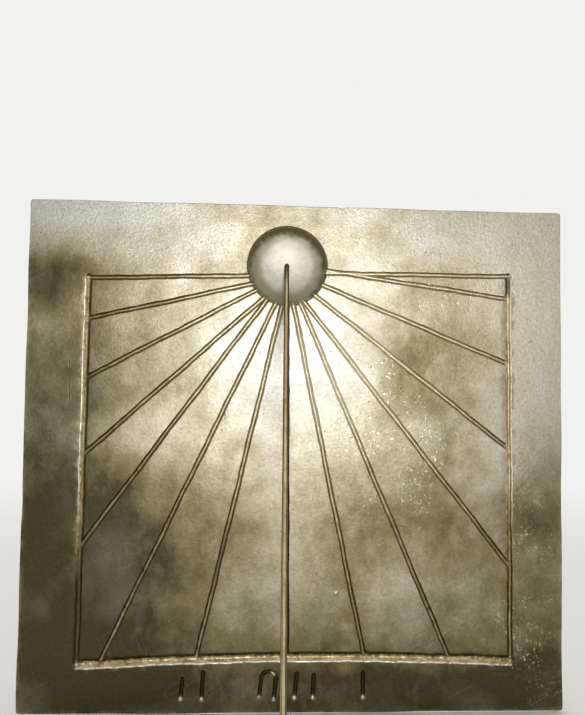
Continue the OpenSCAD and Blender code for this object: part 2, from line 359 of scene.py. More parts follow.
fine_graver = {"wide": 2.4, "deep": 0.9, "shake": 0.5}
figures = [StraightStroke(top, foot, **fine_graver) for top, foot in [
    ((-65, -129.8), (-65.9, -140.6)), ((-53, -126.1), (-53.9, -140.9)),
    ((1.3, -127.1), (0, -140.2)), ((11.2, -127.8), (10.8, -140.2)),
    ((40.1, -126.7), (40.3, -140.3))]]
ARCH_X, ARCH_Z, ARCH_R, ARCH_LEG, ARCH_LEAN = -15.2, -129.9, 4.3, 10.7, math.radians(5.5)
figures.append(RoundStroke((ARCH_X, ARCH_Z), ARCH_R, -ARCH_LEAN, math.pi - ARCH_LEAN,
                           **fine_graver))
for side in (-1, 1):
    leg_top = (ARCH_X + side * ARCH_R * math.cos(ARCH_LEAN),
               ARCH_Z - side * ARCH_R * math.sin(ARCH_LEAN))
    leg_foot = (leg_top[0] - ARCH_LEG * math.sin(ARCH_LEAN),
                leg_top[1] - ARCH_LEG * math.cos(ARCH_LEAN))
    figures.append(StraightStroke(leg_top, leg_foot, **fine_graver))
strokes = top_lines + [left_line, right_line] + hour_lines + [bottom_line] + figures
scratch = StraightStroke((-134.7, 54), (-134.3, 30.7), wide=0.7, deep=0.16, shake=2.0)


def engraved(x, z):
    """Depth of the deepest stroke at each point, below the plate's face."""
    return np.maximum.reduce([s.depth(x, z) for s in strokes])


def share_of_depth(x, z):
    """The same as a share of that stroke's own full depth."""
    return np.maximum.reduce([s.depth(x, z) / s.deep for s in strokes])


def rise(value, start, over):
    """Rises from 0 at start to 1 over this much, or towards lower values if it is negative."""
    return np.clip((value - start) / over, 0, 1)


# Heights on the plate from which the raised lip and the painted highlights on the walls
# stand, below which the frame's left line is darkened, and from which its right line is
# tarnished up to the corner
BURR_FROM, LIT_WALLS_FROM, DULL_BELOW, TARNISHED_FROM = -45, -75, -20, 96
SLOW_FADE, QUICK_FADE = 50, 4


def thrown_up(x, z):
    """Height of the raised lip along the outer side of the frame's sides and bottom line. On
    the sides it dies away towards the bottom."""
    total = np.zeros_like(x)
    for stroke, side, start, height, spread in [(left_line, 1, 1.05, 0.17, 0.42),
                                                (right_line, -1, 1.0, 0.16, 0.42),
                                                (bottom_line, -1, 1.1, 0.18, 0.40)]:
        kept, beyond, aside, wide, _ = stroke.beside(x, z)
        off = side * aside - start * wide / 2 - 0.15
        height = height * (0.85 + 0.3 * np.sin(kept / 1.7 + stroke.phase[0]) * np.sin(kept / 0.9))
        if stroke is not bottom_line:
            height = height * rise(z, BURR_FROM, SLOW_FADE)
        height = height * rise(0.75 * wide - side * aside, 0, 0.2)
        total += height * np.exp(-(off / spread) ** 2 - (beyond / 0.8) ** 2)
    return total


def rubbed(x, z):
    """Where a wall carries a painted highlight: the one beside the raised lip on the frame's left
    and bottom lines, and the inner one of its right line below the corner."""
    total = np.zeros_like(x)
    for stroke, side in [(left_line, 1), (right_line, 1), (bottom_line, -1)]:
        _, beyond, aside, wide, _ = stroke.beside(x, z)
        off = side * aside / (wide / 2)
        here = rise(off, 0.35, 0.2) * rise(off, 1.6, -0.2) * (beyond < 0.5)
        if stroke is not bottom_line:
            here = here * rise(z, LIT_WALLS_FROM, SLOW_FADE)
        if stroke is right_line:
            here = here * rise(z, TARNISHED_FROM + 1, -QUICK_FADE)
        total = np.maximum(total, here)
    return total


def painted_glints(x, z):
    """Painted highlights at the lower ends of the hour figures, and one on the arch."""
    total = np.zeros_like(x)
    for stroke in figures:
        along, aside = stroke.find(x, z)
        if isinstance(stroke, StraightStroke):
            nick = np.exp(-((along - stroke.length - 0.4) / 0.9) ** 2 - (aside / 0.9) ** 2)
        else:
            nick = 0.8 * np.exp(-((along - 3.6) / 1.2) ** 2 - ((aside + 0.3) / 0.8) ** 2)
        total = np.maximum(total, nick)
    return total


def dulled(x, z):
    """How dark the bottoms of the strokes are: the noon line, darkened as the rod's painted
    shadow, the lower part of the frame's left line, the top of its right line and the hour
    figures, but not the figures' lower ends, which carry painted highlights."""
    deepest = np.maximum(engraved(x, z), 0.05)
    total = np.zeros_like(x)
    # The noon line is dark as the rod's painted shadow
    for stroke, dark in [(noon_line, 1.0), (left_line, 0.75 * rise(z, DULL_BELOW, -SLOW_FADE)),
                         (right_line, 0.75 * rise(z, TARNISHED_FROM, QUICK_FADE))]:
        total = np.maximum(total, dark * (stroke.depth(x, z) / deepest > 0.97))
    for stroke in figures:
        along, aside = stroke.find(x, z)
        near = rise(abs(aside), stroke.wide / 2 + 0.4, -0.3) * (along > -2)
        if isinstance(stroke, StraightStroke):
            near = near * rise(along, stroke.length + 0.35, -0.9)
        else:
            near = near * (1 - np.exp(-((along - 4.2) / 1.2) ** 2)) * (along < stroke.length + 1)
        total = np.maximum(total, near)
    return total


def ripple(x, z, size, seed):
    """A gentle unevenness between -1 and 1 with waves about this long."""
    own = np.random.RandomState(seed)
    total = np.zeros_like(x)
    for _ in range(7):
        heading = own.uniform(0, math.pi)
        wave = size * own.uniform(0.7, 1.5)
        total += np.sin(2 * math.pi * (x * math.cos(heading) + z * math.sin(heading)) / wave
                        + own.uniform(0, 6.28))
    return total / 4


def edges(x, z):
    """Where the left, right, bottom and top edges run: inside the drawn size by the file's waves,
    with a dent in the left one and a nick in the top one."""
    dent, nick = 0.5 * np.exp(-((z + 30) / 9) ** 2), 0.7 * np.exp(-((x - 25.2) / 1.6) ** 2)
    return (-HALF_WIDE + 0.35 + 0.3 * ripple(z, z * 0, 55, 11) + dent,
            HALF_WIDE - 0.35 - 0.3 * ripple(z, z * 0, 70, 12),
            -HALF_HIGH + 0.38 + 0.3 * ripple(x, x * 0, 65, 14),
            HALF_HIGH - 0.35 - 0.3 * ripple(x, x * 0, 60, 13) - nick)


def edge_distance(x, z):
    """Distance inside the plate's outline, whose corners are filed round."""
    left, right, bottom, top = edges(x, z)
    across, up = np.minimum(x - left, right - x), np.minimum(z - bottom, top - z)
    rounded = CORNER_R - np.hypot(CORNER_R - across, CORNER_R - up)
    return np.where((across < CORNER_R) & (up < CORNER_R), rounded, np.minimum(across, up))


def from_dish(x, z):
    """Distance from the middle of the sun dish."""
    return np.hypot(x - DISH_X, z - DISH_Z)


# Small raised grains in the sheet's surface: place, radius and height. They crowd in the two
# patches where the photograph shows them, and one larger bump stands below the middle.
grains = [(23.9, -81, 2.4, 0.30)]
for middle_x, middle_z, spread_x, spread_z, count in [
        (62, 22, 26, 34, 90), (144, -70, 9, 42, 60), (60, -40, 70, 60, 40), (-70, 0, 60, 80, 40)]:
    for _ in range(count):
        grains.append((chance.normal(middle_x, spread_x), chance.normal(middle_z, spread_z),
                       chance.uniform(0.45, 1.0), chance.uniform(0.05, 0.16)))
grains = [g for g in grains if abs(g[0]) < 156 and abs(g[1]) < 146]


def sunk(x, z):
    """How far the plate's front lies behind the flat face at each point."""
    over = np.clip(DISH_R + SHOULDER - from_dish(x, z), 0, SHOULDER)
    shoulder = SHOULDER - np.sqrt(SHOULDER ** 2 - over ** 2)
    rim = np.clip(EDGE_ROUND - edge_distance(x, z), 0, EDGE_ROUND)
    edge = EDGE_ROUND - np.sqrt(EDGE_ROUND ** 2 - rim ** 2)
    deep = np.maximum.reduce([engraved(x, z), scratch.depth(x, z) - SOFTENED, shoulder, edge])
    for gx, gz, radius, height in grains:
        deep = deep - height * np.exp(-((x - gx) ** 2 + (z - gz) ** 2) / (0.45 * radius) ** 2)
    deep = deep - thrown_up(x, z)
    return deep + 0.05 * ripple(x, z, 70, 3) + 0.02 * ripple(x, z, 22, 4)


def facing(height, x, z, step=0.03):
    """Normals of a surface whose depth along Y is height(x, z)."""
    slope_x = (height(x + step, z) - height(x - step, z)) / (2 * step)
    slope_z = (height(x, z + step) - height(x, z - step)) / (2 * step)
    normal = np.stack([slope_x, -np.ones_like(x), slope_z], 1)
    return normal / np.linalg.norm(normal, axis=1)[:, None]


def triangles(points, keep):
    """Triangles between flat points, turned to face the front, where keep(x, z) is true."""
    made = delaunay_2d_cdt([Vector(p) for p in points], [], [], 0, 1e-5, False)
    corners = np.array([tuple(v) for v in made[0]])
    faces = np.array([f for f in made[2] if len(f) == 3])
    a, b, c = corners[faces[:, 0]], corners[faces[:, 1]], corners[faces[:, 2]]
    area = (b[:, 0] - a[:, 0]) * (c[:, 1] - a[:, 1]) - (b[:, 1] - a[:, 1]) * (c[:, 0] - a[:, 0])
    faces[area < 0] = faces[area < 0][:, ::-1]
    middle = (a + b + c) / 3
    return corners, faces[(abs(area) > 1e-7) & keep(middle[:, 0], middle[:, 1])]


def outline(inset=0.0, step=0.9):
    """The plate's wavy outline, counter-clockwise from its lower left corner."""
    reach_x, reach_z = HALF_WIDE - CORNER_R - 1, HALF_HIGH - CORNER_R - 1
    xs = np.linspace(-reach_x, reach_x, int(2 * HALF_WIDE / step))
    zs = np.linspace(-reach_z, reach_z, int(2 * HALF_HIGH / step))
    left, right, low, high = edges(xs, zs)
    sides = [np.stack([xs, low + inset], 1), np.stack([right - inset, zs], 1),
             np.stack([xs, high - inset], 1)[::-1], np.stack([left + inset, zs], 1)[::-1]]
    centres = [(left[0] + CORNER_R, low[0] + CORNER_R), (right[0] - CORNER_R, low[-1] + CORNER_R),
               (right[-1] - CORNER_R, high[-1] - CORNER_R),
               (left[-1] + CORNER_R, high[0] - CORNER_R)]
    pieces = []
    for k, (centre, side) in enumerate(zip(centres, sides)):
        turn = math.pi + k * math.pi / 2 + np.linspace(0.05, 0.95, 6) * math.pi / 2
        pieces += [circled(centre, CORNER_R - inset, turn), side]
    return np.concatenate(pieces)


def ring(radius, count=220):
    """Points of the plate round the middle of the dish."""
    return circled((DISH_X, DISH_Z), radius, all_round(count))


# Mesh points of the front: rows along the rounded edge and round the shoulder at the dish, rows
# along the strokes, small rings on the grains, and a loose grid on the flat face between them.
FLAT_STEP, FLAT_JITTER, FLAT_DEPTH, NEAREST = 3.1, 0.8, 0.012, 0.06
spread_points = [outline(inset) for inset in (0, 0.05, 0.14, 0.27, 0.45, 0.8)]
spread_points += [ring(DISH_R + q) for q in (0, 0.06, 0.15, 0.28, 0.45, 0.62, 0.8, 1.1, 1.6)]
line_points = np.concatenate([s.lattice() for s in strokes + [scratch]])
spread_points.append(line_points[from_dish(*line_points.T) > DISH_R + 0.04])
for gx, gz, radius, height in grains:
    turn, out = in_rows(all_round(8), radius * np.array([0.001, 0.22, 0.45, 0.75, 1.1]))
    spread_points.append(circled((gx, gz), out, turn))
flat_x, flat_z = in_rows(np.arange(-157, 158, FLAT_STEP), np.arange(-147, 148, FLAT_STEP))
flat_x = flat_x + chance.uniform(-FLAT_JITTER, FLAT_JITTER, flat_x.size)
flat_z = flat_z + chance.uniform(-FLAT_JITTER, FLAT_JITTER, flat_z.size)
bare = (engraved(flat_x, flat_z) < FLAT_DEPTH) & (from_dish(flat_x, flat_z) > DISH_R + 3)
flat_points = np.stack([flat_x, flat_z], 1)[bare]
spread_points = np.concatenate(spread_points + [flat_points])
first_seen = np.unique(np.round(spread_points / NEAREST).astype(int), axis=0, return_index=True)[1]
front_points, front_faces = triangles(
    spread_points[np.sort(first_seen)],
    lambda x, z: (edge_distance(x, z) > -1e-4) & (from_dish(x, z) > DISH_R))
front_x, front_z = front_points.T

back_rim, back_ring = outline(BACK_ROUND), ring(DISH_R + 0.2)
back_points, back_faces = triangles(
    np.concatenate([back_rim, back_ring, flat_points[::7]]),
    lambda x, z: (edge_distance(x, z) > BACK_ROUND - 0.01) & (from_dish(x, z) > DISH_R + 0.19))


def band(rows):
    """Quads between closed rows of as many points each. The faces look to the right of the way
    in which the rows run, with the first row in front."""
    count = len(rows[0])
    corner = np.arange(count)
    after = (corner + 1) % count
    quads = [np.stack([k * count + corner, k * count + count + corner,
                       k * count + count + after, k * count + after], 1)
             for k in range(len(rows) - 1)]
    return np.concatenate(rows), np.concatenate(quads)


def at_depth(points, y):
    """Flat points moved to this place along Y."""
    return np.stack([points[:, 0], y + 0 * points[:, 0], points[:, 1]], 1)


MID_SIDE = BACK - 1.4
rim_line, rim_circle = outline(), ring(DISH_R)
side_points, side_faces = band([
    at_depth(rim_line, FRONT + sunk(*rim_line.T)), at_depth(rim_line, MID_SIDE),
    at_depth(rim_line, BACK - BACK_ROUND), at_depth(back_rim, BACK)])
bore_points, bore_faces = band([
    at_depth(rim_circle, FRONT + sunk(*rim_circle.T)), at_depth(rim_circle, BACK - 0.2),
    at_depth(back_ring, BACK)])


def joined(*parts):
    """One list of points and one of faces from several pairs of them."""
    points, faces, count = [], [], 0
    for part_points, part_faces in parts:
        points.append(part_points)
        faces += (np.asarray(part_faces) + count).tolist()
        count += len(part_points)
    return np.concatenate(points), faces


def make_piece(name, points, faces, sharp=None, normals=None, values=()):
    """A smooth-shaded mesh object from points in millimetres, with named values on its points."""
    mesh = bpy.data.meshes.new(name)
    mesh.from_pydata((points * 0.001).tolist(), [], faces)
    mesh.update()
    mesh.polygons.foreach_set("use_smooth", [True] * len(mesh.polygons))
    if sharp:
        mesh.set_sharp_from_angle(angle=math.radians(sharp))
    for label, numbers in values:
        attribute = mesh.attributes.new(label, "FLOAT", "POINT")
        attribute.data.foreach_set("value", np.asarray(numbers, "f"))
    if normals is not None:
        mesh.normals_split_custom_set_from_vertices(normals.tolist())
    return new_object(name, mesh)


plate_points, plate_faces = joined(
    (at_depth(front_points, FRONT + sunk(front_x, front_z)), front_faces),
    (at_depth(back_points, BACK), back_faces[:, ::-1]),
    (side_points, side_faces[:, ::-1]), (bore_points, bore_faces))
front_facing = facing(sunk, front_x, front_z)


def over_plate(front, back=0.0, rim=0.0):
    """A value for all of the plate's points: these on the front, one on the back, one between."""
    rim_count = len(side_points) + len(bore_points)
    return np.concatenate([front, np.full(len(back_points), back), np.full(rim_count, rim)])


plate = make_piece(
    "silvered_dial_plate", plate_points, plate_faces,
    normals=np.concatenate([front_facing, np.zeros((len(plate_points) - len(front_x), 3))]),
    values=[
        ("cut", over_plate(share_of_depth(front_x, front_z))),
        # How far each point faces up, used for painted shade on the strokes' walls
        ("upward", over_plate(np.clip(0.5 + 0.8 * front_facing[:, 2], 0, 1))),
        ("wide", over_plate(bottom_line.depth(front_x, front_z) > 0.3)),
        # Walls that carry painted highlights
        ("rubbed", over_plate(rubbed(front_x, front_z))),
        # Dark stroke bottoms, and the rod's painted shadow on the noon line
        ("dulled", over_plate(dulled(front_x, front_z))),
        # The raised lip, and the painted highlights at the figures' lower ends
        ("burr", over_plate(np.clip(thrown_up(front_x, front_z) / 0.07
                                    + 1.3 * painted_glints(front_x, front_z), 0, 1))),
        ("bare_back", over_plate(front_x * 0, back=1.0)),
        ("edge", over_plate(np.exp(-np.maximum(edge_distance(front_x, front_z), 0) / 0.5), rim=0.6))])


class Finish:
    """A metal's look: its material, and the colour, roughness and fine height worked out for it."""

    def __init__(self, name):
        self.material = bpy.data.materials.new(name)
        self.material.use_nodes = True
        self.tree = self.material.node_tree
        self.shader = self.tree.nodes["Principled BSDF"]
        self.shader.inputs["Metallic"].default_value = 1
        self.colour = self.rough = self.height = None

    def lay(self, share, over, how="MIX"):
        """Lays a colour over the finish's own, by this share."""
        self.colour = self.colour.tinted(share, over, how)

    def applied(self, depth):
        """The material with all of it on, where a height of 1 stands for this many metres."""
        bump = Step(self.tree, "Bump", {"Distance": depth, "Height": self.height}, "Normal")
        for name, value in [("Base Color", self.colour), ("Roughness", self.rough),
                            ("Normal", bump)]:
            put(value, self.shader.inputs[name])
        return self.material


def place_in_piece(tree, stretch=(1, 1, 1), turn=(0, 0, 0)):
    """Coordinates in the part's frame, first turned and then stretched."""
    where = Step(tree, "TexCoord", output="Object")
    return Step(tree, "Mapping", {"Vector": where, "Rotation": turn}).vector("MULTIPLY", stretch)


def cloud(tree, per_metre, detail=3.0, rough=0.55, bend=0.0, **where):
    """Noise between about 0.25 and 0.75, with this many waves in a metre."""
    return Step(tree, "TexNoise", {"Vector": place_in_piece(tree, **where), "Scale": per_metre,
                                   "Detail": detail, "Roughness": rough, "Distortion": bend})


def value_of(tree, name):
    """A value that make_piece put on the points."""
    return Step(tree, "Attribute", output="Fac", attribute_name=name)


MID_SHEET = (FRONT + BACK) / 2000


def spot(tree, x, z, wide, high):
    """A soft round or oval spot: 1 at its middle and 0 at its edge. Sizes in metres."""
    from_middle = place_in_piece(tree).vector("SUBTRACT", (x, MID_SHEET, z))
    away = from_middle.vector("MULTIPLY", (1 / wide, 1, 1 / high)).vector("LENGTH")
    return away.span(0.15, 1, 1, 0, "SMOOTHSTEP")


def silvering(finish, darker=0.0):
    """Silvering before any engraving. It is cloudy in large soft patches, browner where it is
    worn thin, and finely pitted. The plate's left side and its lower half are darkened as
    painted shade, where the light falls off."""
    tree = finish.tree
    middling = cloud(tree, 42, 4, 0.6, 0.3)
    mottled = cloud(tree, 150, 4, 0.62, 0.2, stretch=(1, 1, 0.6))
    fine = cloud(tree, 520, 3, 0.6)
    tone = cloud(tree, 11, 4, 0.55, 0.5) * 0.50 + middling * 0.32 + mottled * 0.18
    across, up = place_in_piece(tree).part("X"), place_in_piece(tree).part("Z")
    # Painted shade: darker towards the bottom, and towards the left side below the top
    tone = tone - up.span(0.03, -0.12, 0, 0.20, "SMOOTHSTEP") - up.span(-0.115, -0.128, 0, 0.10)
    tone = tone + up.span(0.112, 0.136, 0, 0.03)
    tone = tone - (across.span(-0.05, -0.135, 0, 0.21, "SMOOTHSTEP")
                   * up.span(0.129, 0.106, 0, 1, "SMOOTHSTEP"))
    # Patches: place, size, and how much lighter they are, or darker below 0
    for x, z, wide, high, amount in [
            (0.086, 0.058, 0.062, 0.080, -0.20), (-0.085, -0.045, 0.085, 0.055, -0.11),
            (-0.085, 0.012, 0.045, 0.032, 0.09), (0.065, -0.028, 0.100, 0.045, -0.11),
            (-0.150, -0.130, 0.065, 0.045, -0.10), (0.150, -0.138, 0.080, 0.035, -0.12),
            (0.085, -0.085, 0.110, 0.036, 0.08), (0.150, 0.122, 0.055, 0.070, 0.20),
            (0.150, -0.022, 0.034, 0.065, -0.15), (-0.010, -0.070, 0.070, 0.060, 0.06),
            (-0.030, 0.144, 0.075, 0.030, -0.06), (-0.130, 0.150, 0.080, 0.026, 0.18),
            (-0.152, 0.106, 0.036, 0.036, -0.12), (-0.045, -0.042, 0.045, 0.055, -0.055)]:
        tone = tone + spot(tree, x, z, wide, high) * amount
    finish.colour = (tone - darker).span(0.18, 0.66).shades(
        (0.0, (0.092, 0.078, 0.038)), (0.3, (0.262, 0.225, 0.119)),
        (0.62, (0.525, 0.47, 0.338)), (1.0, (0.72, 0.70, 0.62)))
    finish.lay(cloud(tree, 19, 3, 0.5, 0.2).span(0.5, 0.68) * 0.22, (0.46, 0.455, 0.35))
    # Painted highlight: the silvering is whiter where the front lamp's glow falls
    finish.lay(spot(tree, -0.004, 0.060, 0.075, 0.065) * 0.8, (0.60, 0.593, 0.56))
    finish.lay(spot(tree, 0.155, 0.110, 0.085, 0.120) * 0.8, (0.76, 0.69, 0.52))
    grain = fine.span(0.3, 0.7).shades((0.0, (0.74, 0.74, 0.71)), (1.0, (1.0, 1.0, 1.0)))
    finish.lay(1.0, grain, "MULTIPLY")
    lines = [cloud(tree, 1, 2, 0.5, stretch=stretch, turn=(0, turn, 0)).span(0.67, 0.72)
             for stretch, turn in [((2600, 60, 34), 0.35), ((2200, 60, 28), -1.05)]]
    scored = lines[0].or_larger(lines[1]) * cloud(tree, 30, 2).span(0.48, 0.64)
    finish.lay(scored * 0.15, (0.72, 0.68, 0.55))
    speckled = spot(tree, 0.060, 0.020, 0.060, 0.095)
    for x, z, wide, high in [(0.144, -0.070, 0.050, 0.100), (0.090, 0.100, 0.070, 0.045)]:
        speckled = speckled.or_larger(spot(tree, x, z, wide, high))
    flecks = cloud(tree, 420, 4, 0.6).span(0.59, 0.64) * cloud(tree, 60, 2).span(0.44, 0.56)
    specks = cloud(tree, 900, 2, 0.5).span(0.66, 0.71).or_larger(flecks)
    specks = specks * (cloud(tree, 34, 3).span(0.44, 0.60) * speckled)
    finish.lay(specks * 0.8, (0.91, 0.86, 0.67))
    finish.lay(cloud(tree, 640, 2, 0.5).span(0.33, 0.27) * 0.55, (0.12, 0.10, 0.055))
    finish.rough = middling.span(0.3, 0.7, 0.375, 0.30) - specks * 0.12
    finish.height = cloud(tree, 1500, 3, 0.65) * 0.7 + fine - scored * 0.2 + specks * 0.5


# Middle of a painted pool of light on the strokes, below and right of the dish
PAINTED_GLOW_MIDDLE = (0.033, -0.023, 0.062)


def laid_bare(finish):
    """Tarnish on the walls of the engraved strokes, and patchy, chattered brass in the bottom,
    which is darkened where the points say so: as dim brass, and on the noon line as the rod's
    painted shadow. Walls and bottoms are painted lighter round a middle below and right of the
    dish, as a painted pool of light, and walls that face up are lighter than those that face
    down, as painted shade."""
    tree = finish.tree
    cut, dull_and_shadow = value_of(tree, "cut"), value_of(tree, "dulled")
    uneven = (cloud(tree, 420) - 0.5) * 0.5
    away = place_in_piece(tree).vector("DISTANCE", PAINTED_GLOW_MIDDLE)
    # Painted light: strokes lighter towards the middle of the pool and darker away from it
    painted_glow = (away + (cloud(tree, 28) - 0.5) * 0.09).span(0.035, 0.150, 1, 0, "SMOOTHSTEP")
    deep = cut ** painted_glow.span(0, 1, 0.62, 1.0) + uneven * cut.span(0.1, 0.6)
    walls = deep.span(0.07, 0.34, 0, 1, "SMOOTHSTEP") * (1 - value_of(tree, "burr"))
    bottom = (cut + uneven * 0.45).span(0.84, 0.99, 0, 1, "SMOOTHSTEP") * (1 - dull_and_shadow * 0.97)
    black = cloud(tree, 210).shades((0.4, (0.050, 0.039, 0.012)), (0.6, (0.115, 0.090, 0.030)))
    brown = cloud(tree, 120).shades((0.4, (0.29, 0.22, 0.090)), (0.6, (0.48, 0.39, 0.19)))
    tarnish = black.tinted(painted_glow, brown)
    # Painted highlight on the walls near the pool's middle
    tarnish = tarnish.tinted(spot(tree, 0.030, 0.050, 0.060, 0.065) * 0.9, (0.90, 0.80, 0.62))
    # Painted shade: walls that face down stay darker than walls that face up
    tarnish = tarnish.tinted(value_of(tree, "upward").span(0.45, 1, 0, 0.35), (0.42, 0.35, 0.20))
    tarnish = tarnish.tinted(dull_and_shadow, (0.042, 0.036, 0.017))
    # Painted highlight in coppery brass on the walls marked as lit
    coppery = cloud(tree, 190).shades((0.42, (0.70, 0.42, 0.20)), (0.56, (0.92, 0.76, 0.46)))
    tarnish = tarnish.tinted(
        value_of(tree, "rubbed") * cloud(tree, 300).span(0.36, 0.52, 0.35, 1), coppery)
    finish.lay(walls * 0.95, tarnish)
    patches = cloud(tree, 32, 2, 0.5) * 0.7 + cloud(tree, 240, 4, 0.65) * 0.3
    brass = patches.shades((0.36, (0.12, 0.10, 0.045)), (0.43, (0.27, 0.20, 0.09)),
                           (0.50, (0.42, 0.31, 0.13)), (0.56, (0.45, 0.39, 0.19)),
                           (0.64, (0.66, 0.60, 0.37)))
    # Painted shade on the bottoms away from the pool, painted light near it
    brass = brass.tinted(painted_glow.span(0.35, 0, 0, 0.5), (0.17, 0.145, 0.070))
    brass = brass.tinted(painted_glow * 0.75, (0.74, 0.68, 0.47))
    brass = brass.tinted(value_of(tree, "wide") * 0.6, cloud(tree, 420, 4, 0.7).shades(
        (0.38, (0.20, 0.14, 0.05)), (0.52, (0.50, 0.37, 0.16)), (0.62, (0.88, 0.80, 0.58))))
    finish.lay(bottom, brass)
    finish.rough = finish.rough + walls * 0.06 - bottom * 0.08 + dull_and_shadow * 0.12
    finish.height = finish.height + cloud(tree, 1100, 2) * bottom * 0.8


def left_bare(finish):
    """Dull rolled brass on the back, which was never silvered."""
    tree = finish.tree
    rolled = cloud(tree, 1, 3, 0.6, stretch=(14, 14, 900))
    patches = cloud(tree, 7, 2, 0.4, 0.2) * 0.6 + rolled * 0.4
    brass = patches.shades((0.36, (0.33, 0.245, 0.115)), (0.64, (0.47, 0.37, 0.195)))
    stains = cloud(tree, 33, 4, 0.6).span(0.60, 0.74, 0, 0.4)
    back = value_of(tree, "bare_back")
    finish.lay(back, brass.tinted(stains, (0.24, 0.165, 0.075)))
    own_rough = rolled.span(0.4, 0.6, 0.36, 0.44)
    finish.rough = finish.rough + back * (own_rough - finish.rough)


PLATE_GRAIN = 0.00007
plate_finish = Finish("silvered_and_engraved_brass")
silvering(plate_finish)
laid_bare(plate_finish)
left_bare(plate_finish)
tree = plate_finish.tree
# Pale brass on the raised lip, partly as a painted highlight, and painted highlights at the figures'
# lower ends
burr = value_of(tree, "burr") * cloud(tree, 380).span(0.34, 0.48, 0.35, 1)
plate_finish.lay(burr, (0.89, 0.85, 0.70))
worn = value_of(tree, "edge") * cloud(tree, 90).span(0.4, 0.6)
plate_finish.lay(worn * 0.7, (0.70, 0.58, 0.34))
plate.data.materials.append(plate_finish.applied(PLATE_GRAIN))
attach(plate, "root")
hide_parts("dial_plate")

# Sun dish. A shallow cup turned from brass and silvered with the plate. It fills the plate's
# round hole and is soldered there by a flange at the back. The hour lines run out over its lip,
# and the rod's slanting hole goes through the middle of its floor.
FLOOR_R, TURN_AT, DISH_DEEP, DISH_WALL = 74.0, 15.0, 6.2, 1.5
LIP_DROP, LIP_ROUND, DISH_OUT = 0.3, 0.25, DISH_R - 0.1
SEAM, FLANGE_R, FLANGE_T = BACK - FRONT, 27.75, 1.5
turn_slope = math.asin(TURN_AT / FLOOR_R)
turn_r = (DISH_R + 0.3 - TURN_AT) / (math.sin(math.radians(50)) - math.sin(turn_slope))
turn_out = TURN_AT - turn_r * math.sin(turn_slope)
turn_up = FLOOR_R - (FLOOR_R - turn_r) * math.cos(turn_slope) - DISH_DEEP
ROD_ANGLE, ROD_LEAN = math.radians(40), math.radians(2.7)
rod_along = np.array([math.sin(ROD_LEAN) * math.cos(ROD_ANGLE), math.sin(ROD_ANGLE),
                      math.cos(ROD_LEAN) * math.cos(ROD_ANGLE)])
rod_foot = np.array([DISH_X, FRONT + DISH_DEEP, DISH_Z])


def bowl(radius, thick=0.0):
    """Depth of the hollow below the plate's face, or of its outside if it is this thick."""
    floor_part = np.sqrt(np.maximum((FLOOR_R + thick) ** 2 - radius ** 2, 1))
    turned = np.sqrt(np.maximum((turn_r + thick) ** 2 - (radius - turn_out) ** 2, 0)) - turn_up
    edge = (FLOOR_R + thick) * math.sin(turn_slope)
    return np.where(radius < edge, floor_part - (FLOOR_R - DISH_DEEP), turned)


def dish_sunk(x, z):
    """How far the dish's front lies behind the plate's face at each point."""
    off = from_dish(x, z)
    hollow = bowl(off)
    lip_edge = np.clip(off - (DISH_OUT - LIP_ROUND), 0, LIP_ROUND - 0.0001)
    lip = LIP_DROP + LIP_ROUND - np.sqrt(LIP_ROUND ** 2 - lip_edge ** 2)
    deep = 0.5 * (hollow + lip + np.sqrt((hollow - lip) ** 2 + 0.008))
    lines = engraved(x, z)
    return 0.5 * (deep + lines + np.sqrt((deep - lines) ** 2 + 0.01)) + 0.012 * ripple(x, z, 9, 5)


AROUND, HOLE_R = 360, 1.6
long_half = HOLE_R / math.sin(ROD_ANGLE)
from_long = all_round(AROUND) - (math.pi / 2 - ROD_LEAN)
hole_edge = HOLE_R * long_half / np.hypot(HOLE_R * np.cos(from_long),
                                          long_half * np.sin(from_long))


def dish_row(radius, depth=None):
    """A closed row of points on the dish's front, or this far behind the plate's face."""
    row = circled((DISH_X, DISH_Z), radius, all_round(AROUND))
    return at_depth(row, FRONT + (dish_sunk(*row.T) if depth is None else depth))


row_radii = [hole_edge, hole_edge + 0.12]
for share in np.linspace(0.12, 1, 7):
    row_radii.append(hole_edge + share * (5.2 - hole_edge))
row_radii += [np.full(AROUND, r) for r in np.concatenate([
    np.linspace(6, 19.5, 15), np.linspace(19.9, 22.3, 9), np.linspace(22.5, 23.3, 9),
    [23.4, 23.46, 23.52, 23.57, 23.61, 23.64, DISH_OUT]])]
dish_rows = [dish_row(r) for r in row_radii]
dish_front, dish_front_faces = band([dish_rows[0] + 3.0 * rod_along] + dish_rows)
solder = [(FLANGE_R + 1.1, SEAM + 0.02), (FLANGE_R + 0.55, SEAM + 0.22),
          (FLANGE_R + 0.2, SEAM + 0.6), (FLANGE_R + 0.02, SEAM + 1.05)]
flange_back = SEAM + FLANGE_T
flange = [(FLANGE_R, SEAM + 1.2), (FLANGE_R - 0.1, SEAM + 1.42), (FLANGE_R - 0.35, flange_back),
          (25.0, flange_back), (22.0, flange_back), (20.6, flange_back + 0.02),
          (20.1, flange_back + 0.1), (19.7, flange_back + 0.3)]
cup = [(r, float(bowl(np.array([r]), DISH_WALL)[0]))
       for r in np.concatenate([np.linspace(19.3, 15.3, 9), np.linspace(14.5, 2.0, 12)])]
wall = [(DISH_OUT, 0.8), (DISH_OUT, SEAM)]
dish_back, dish_back_faces = band(
    [dish_rows[-1]] + [dish_row(r, depth) for r, depth in wall + solder + flange + cup])
dish_points, dish_faces = joined((dish_front, dish_front_faces), (dish_back, dish_back_faces))
dish_x, dish_z = dish_front[:, 0], dish_front[:, 2]
dish_facing = facing(dish_sunk, dish_x, dish_z)
notch = rise(engraved(dish_x, dish_z), np.maximum(bowl(from_dish(dish_x, dish_z)), LIP_DROP), 0.6)
for on_front in (dish_facing, notch):
    on_front[:AROUND] = 0
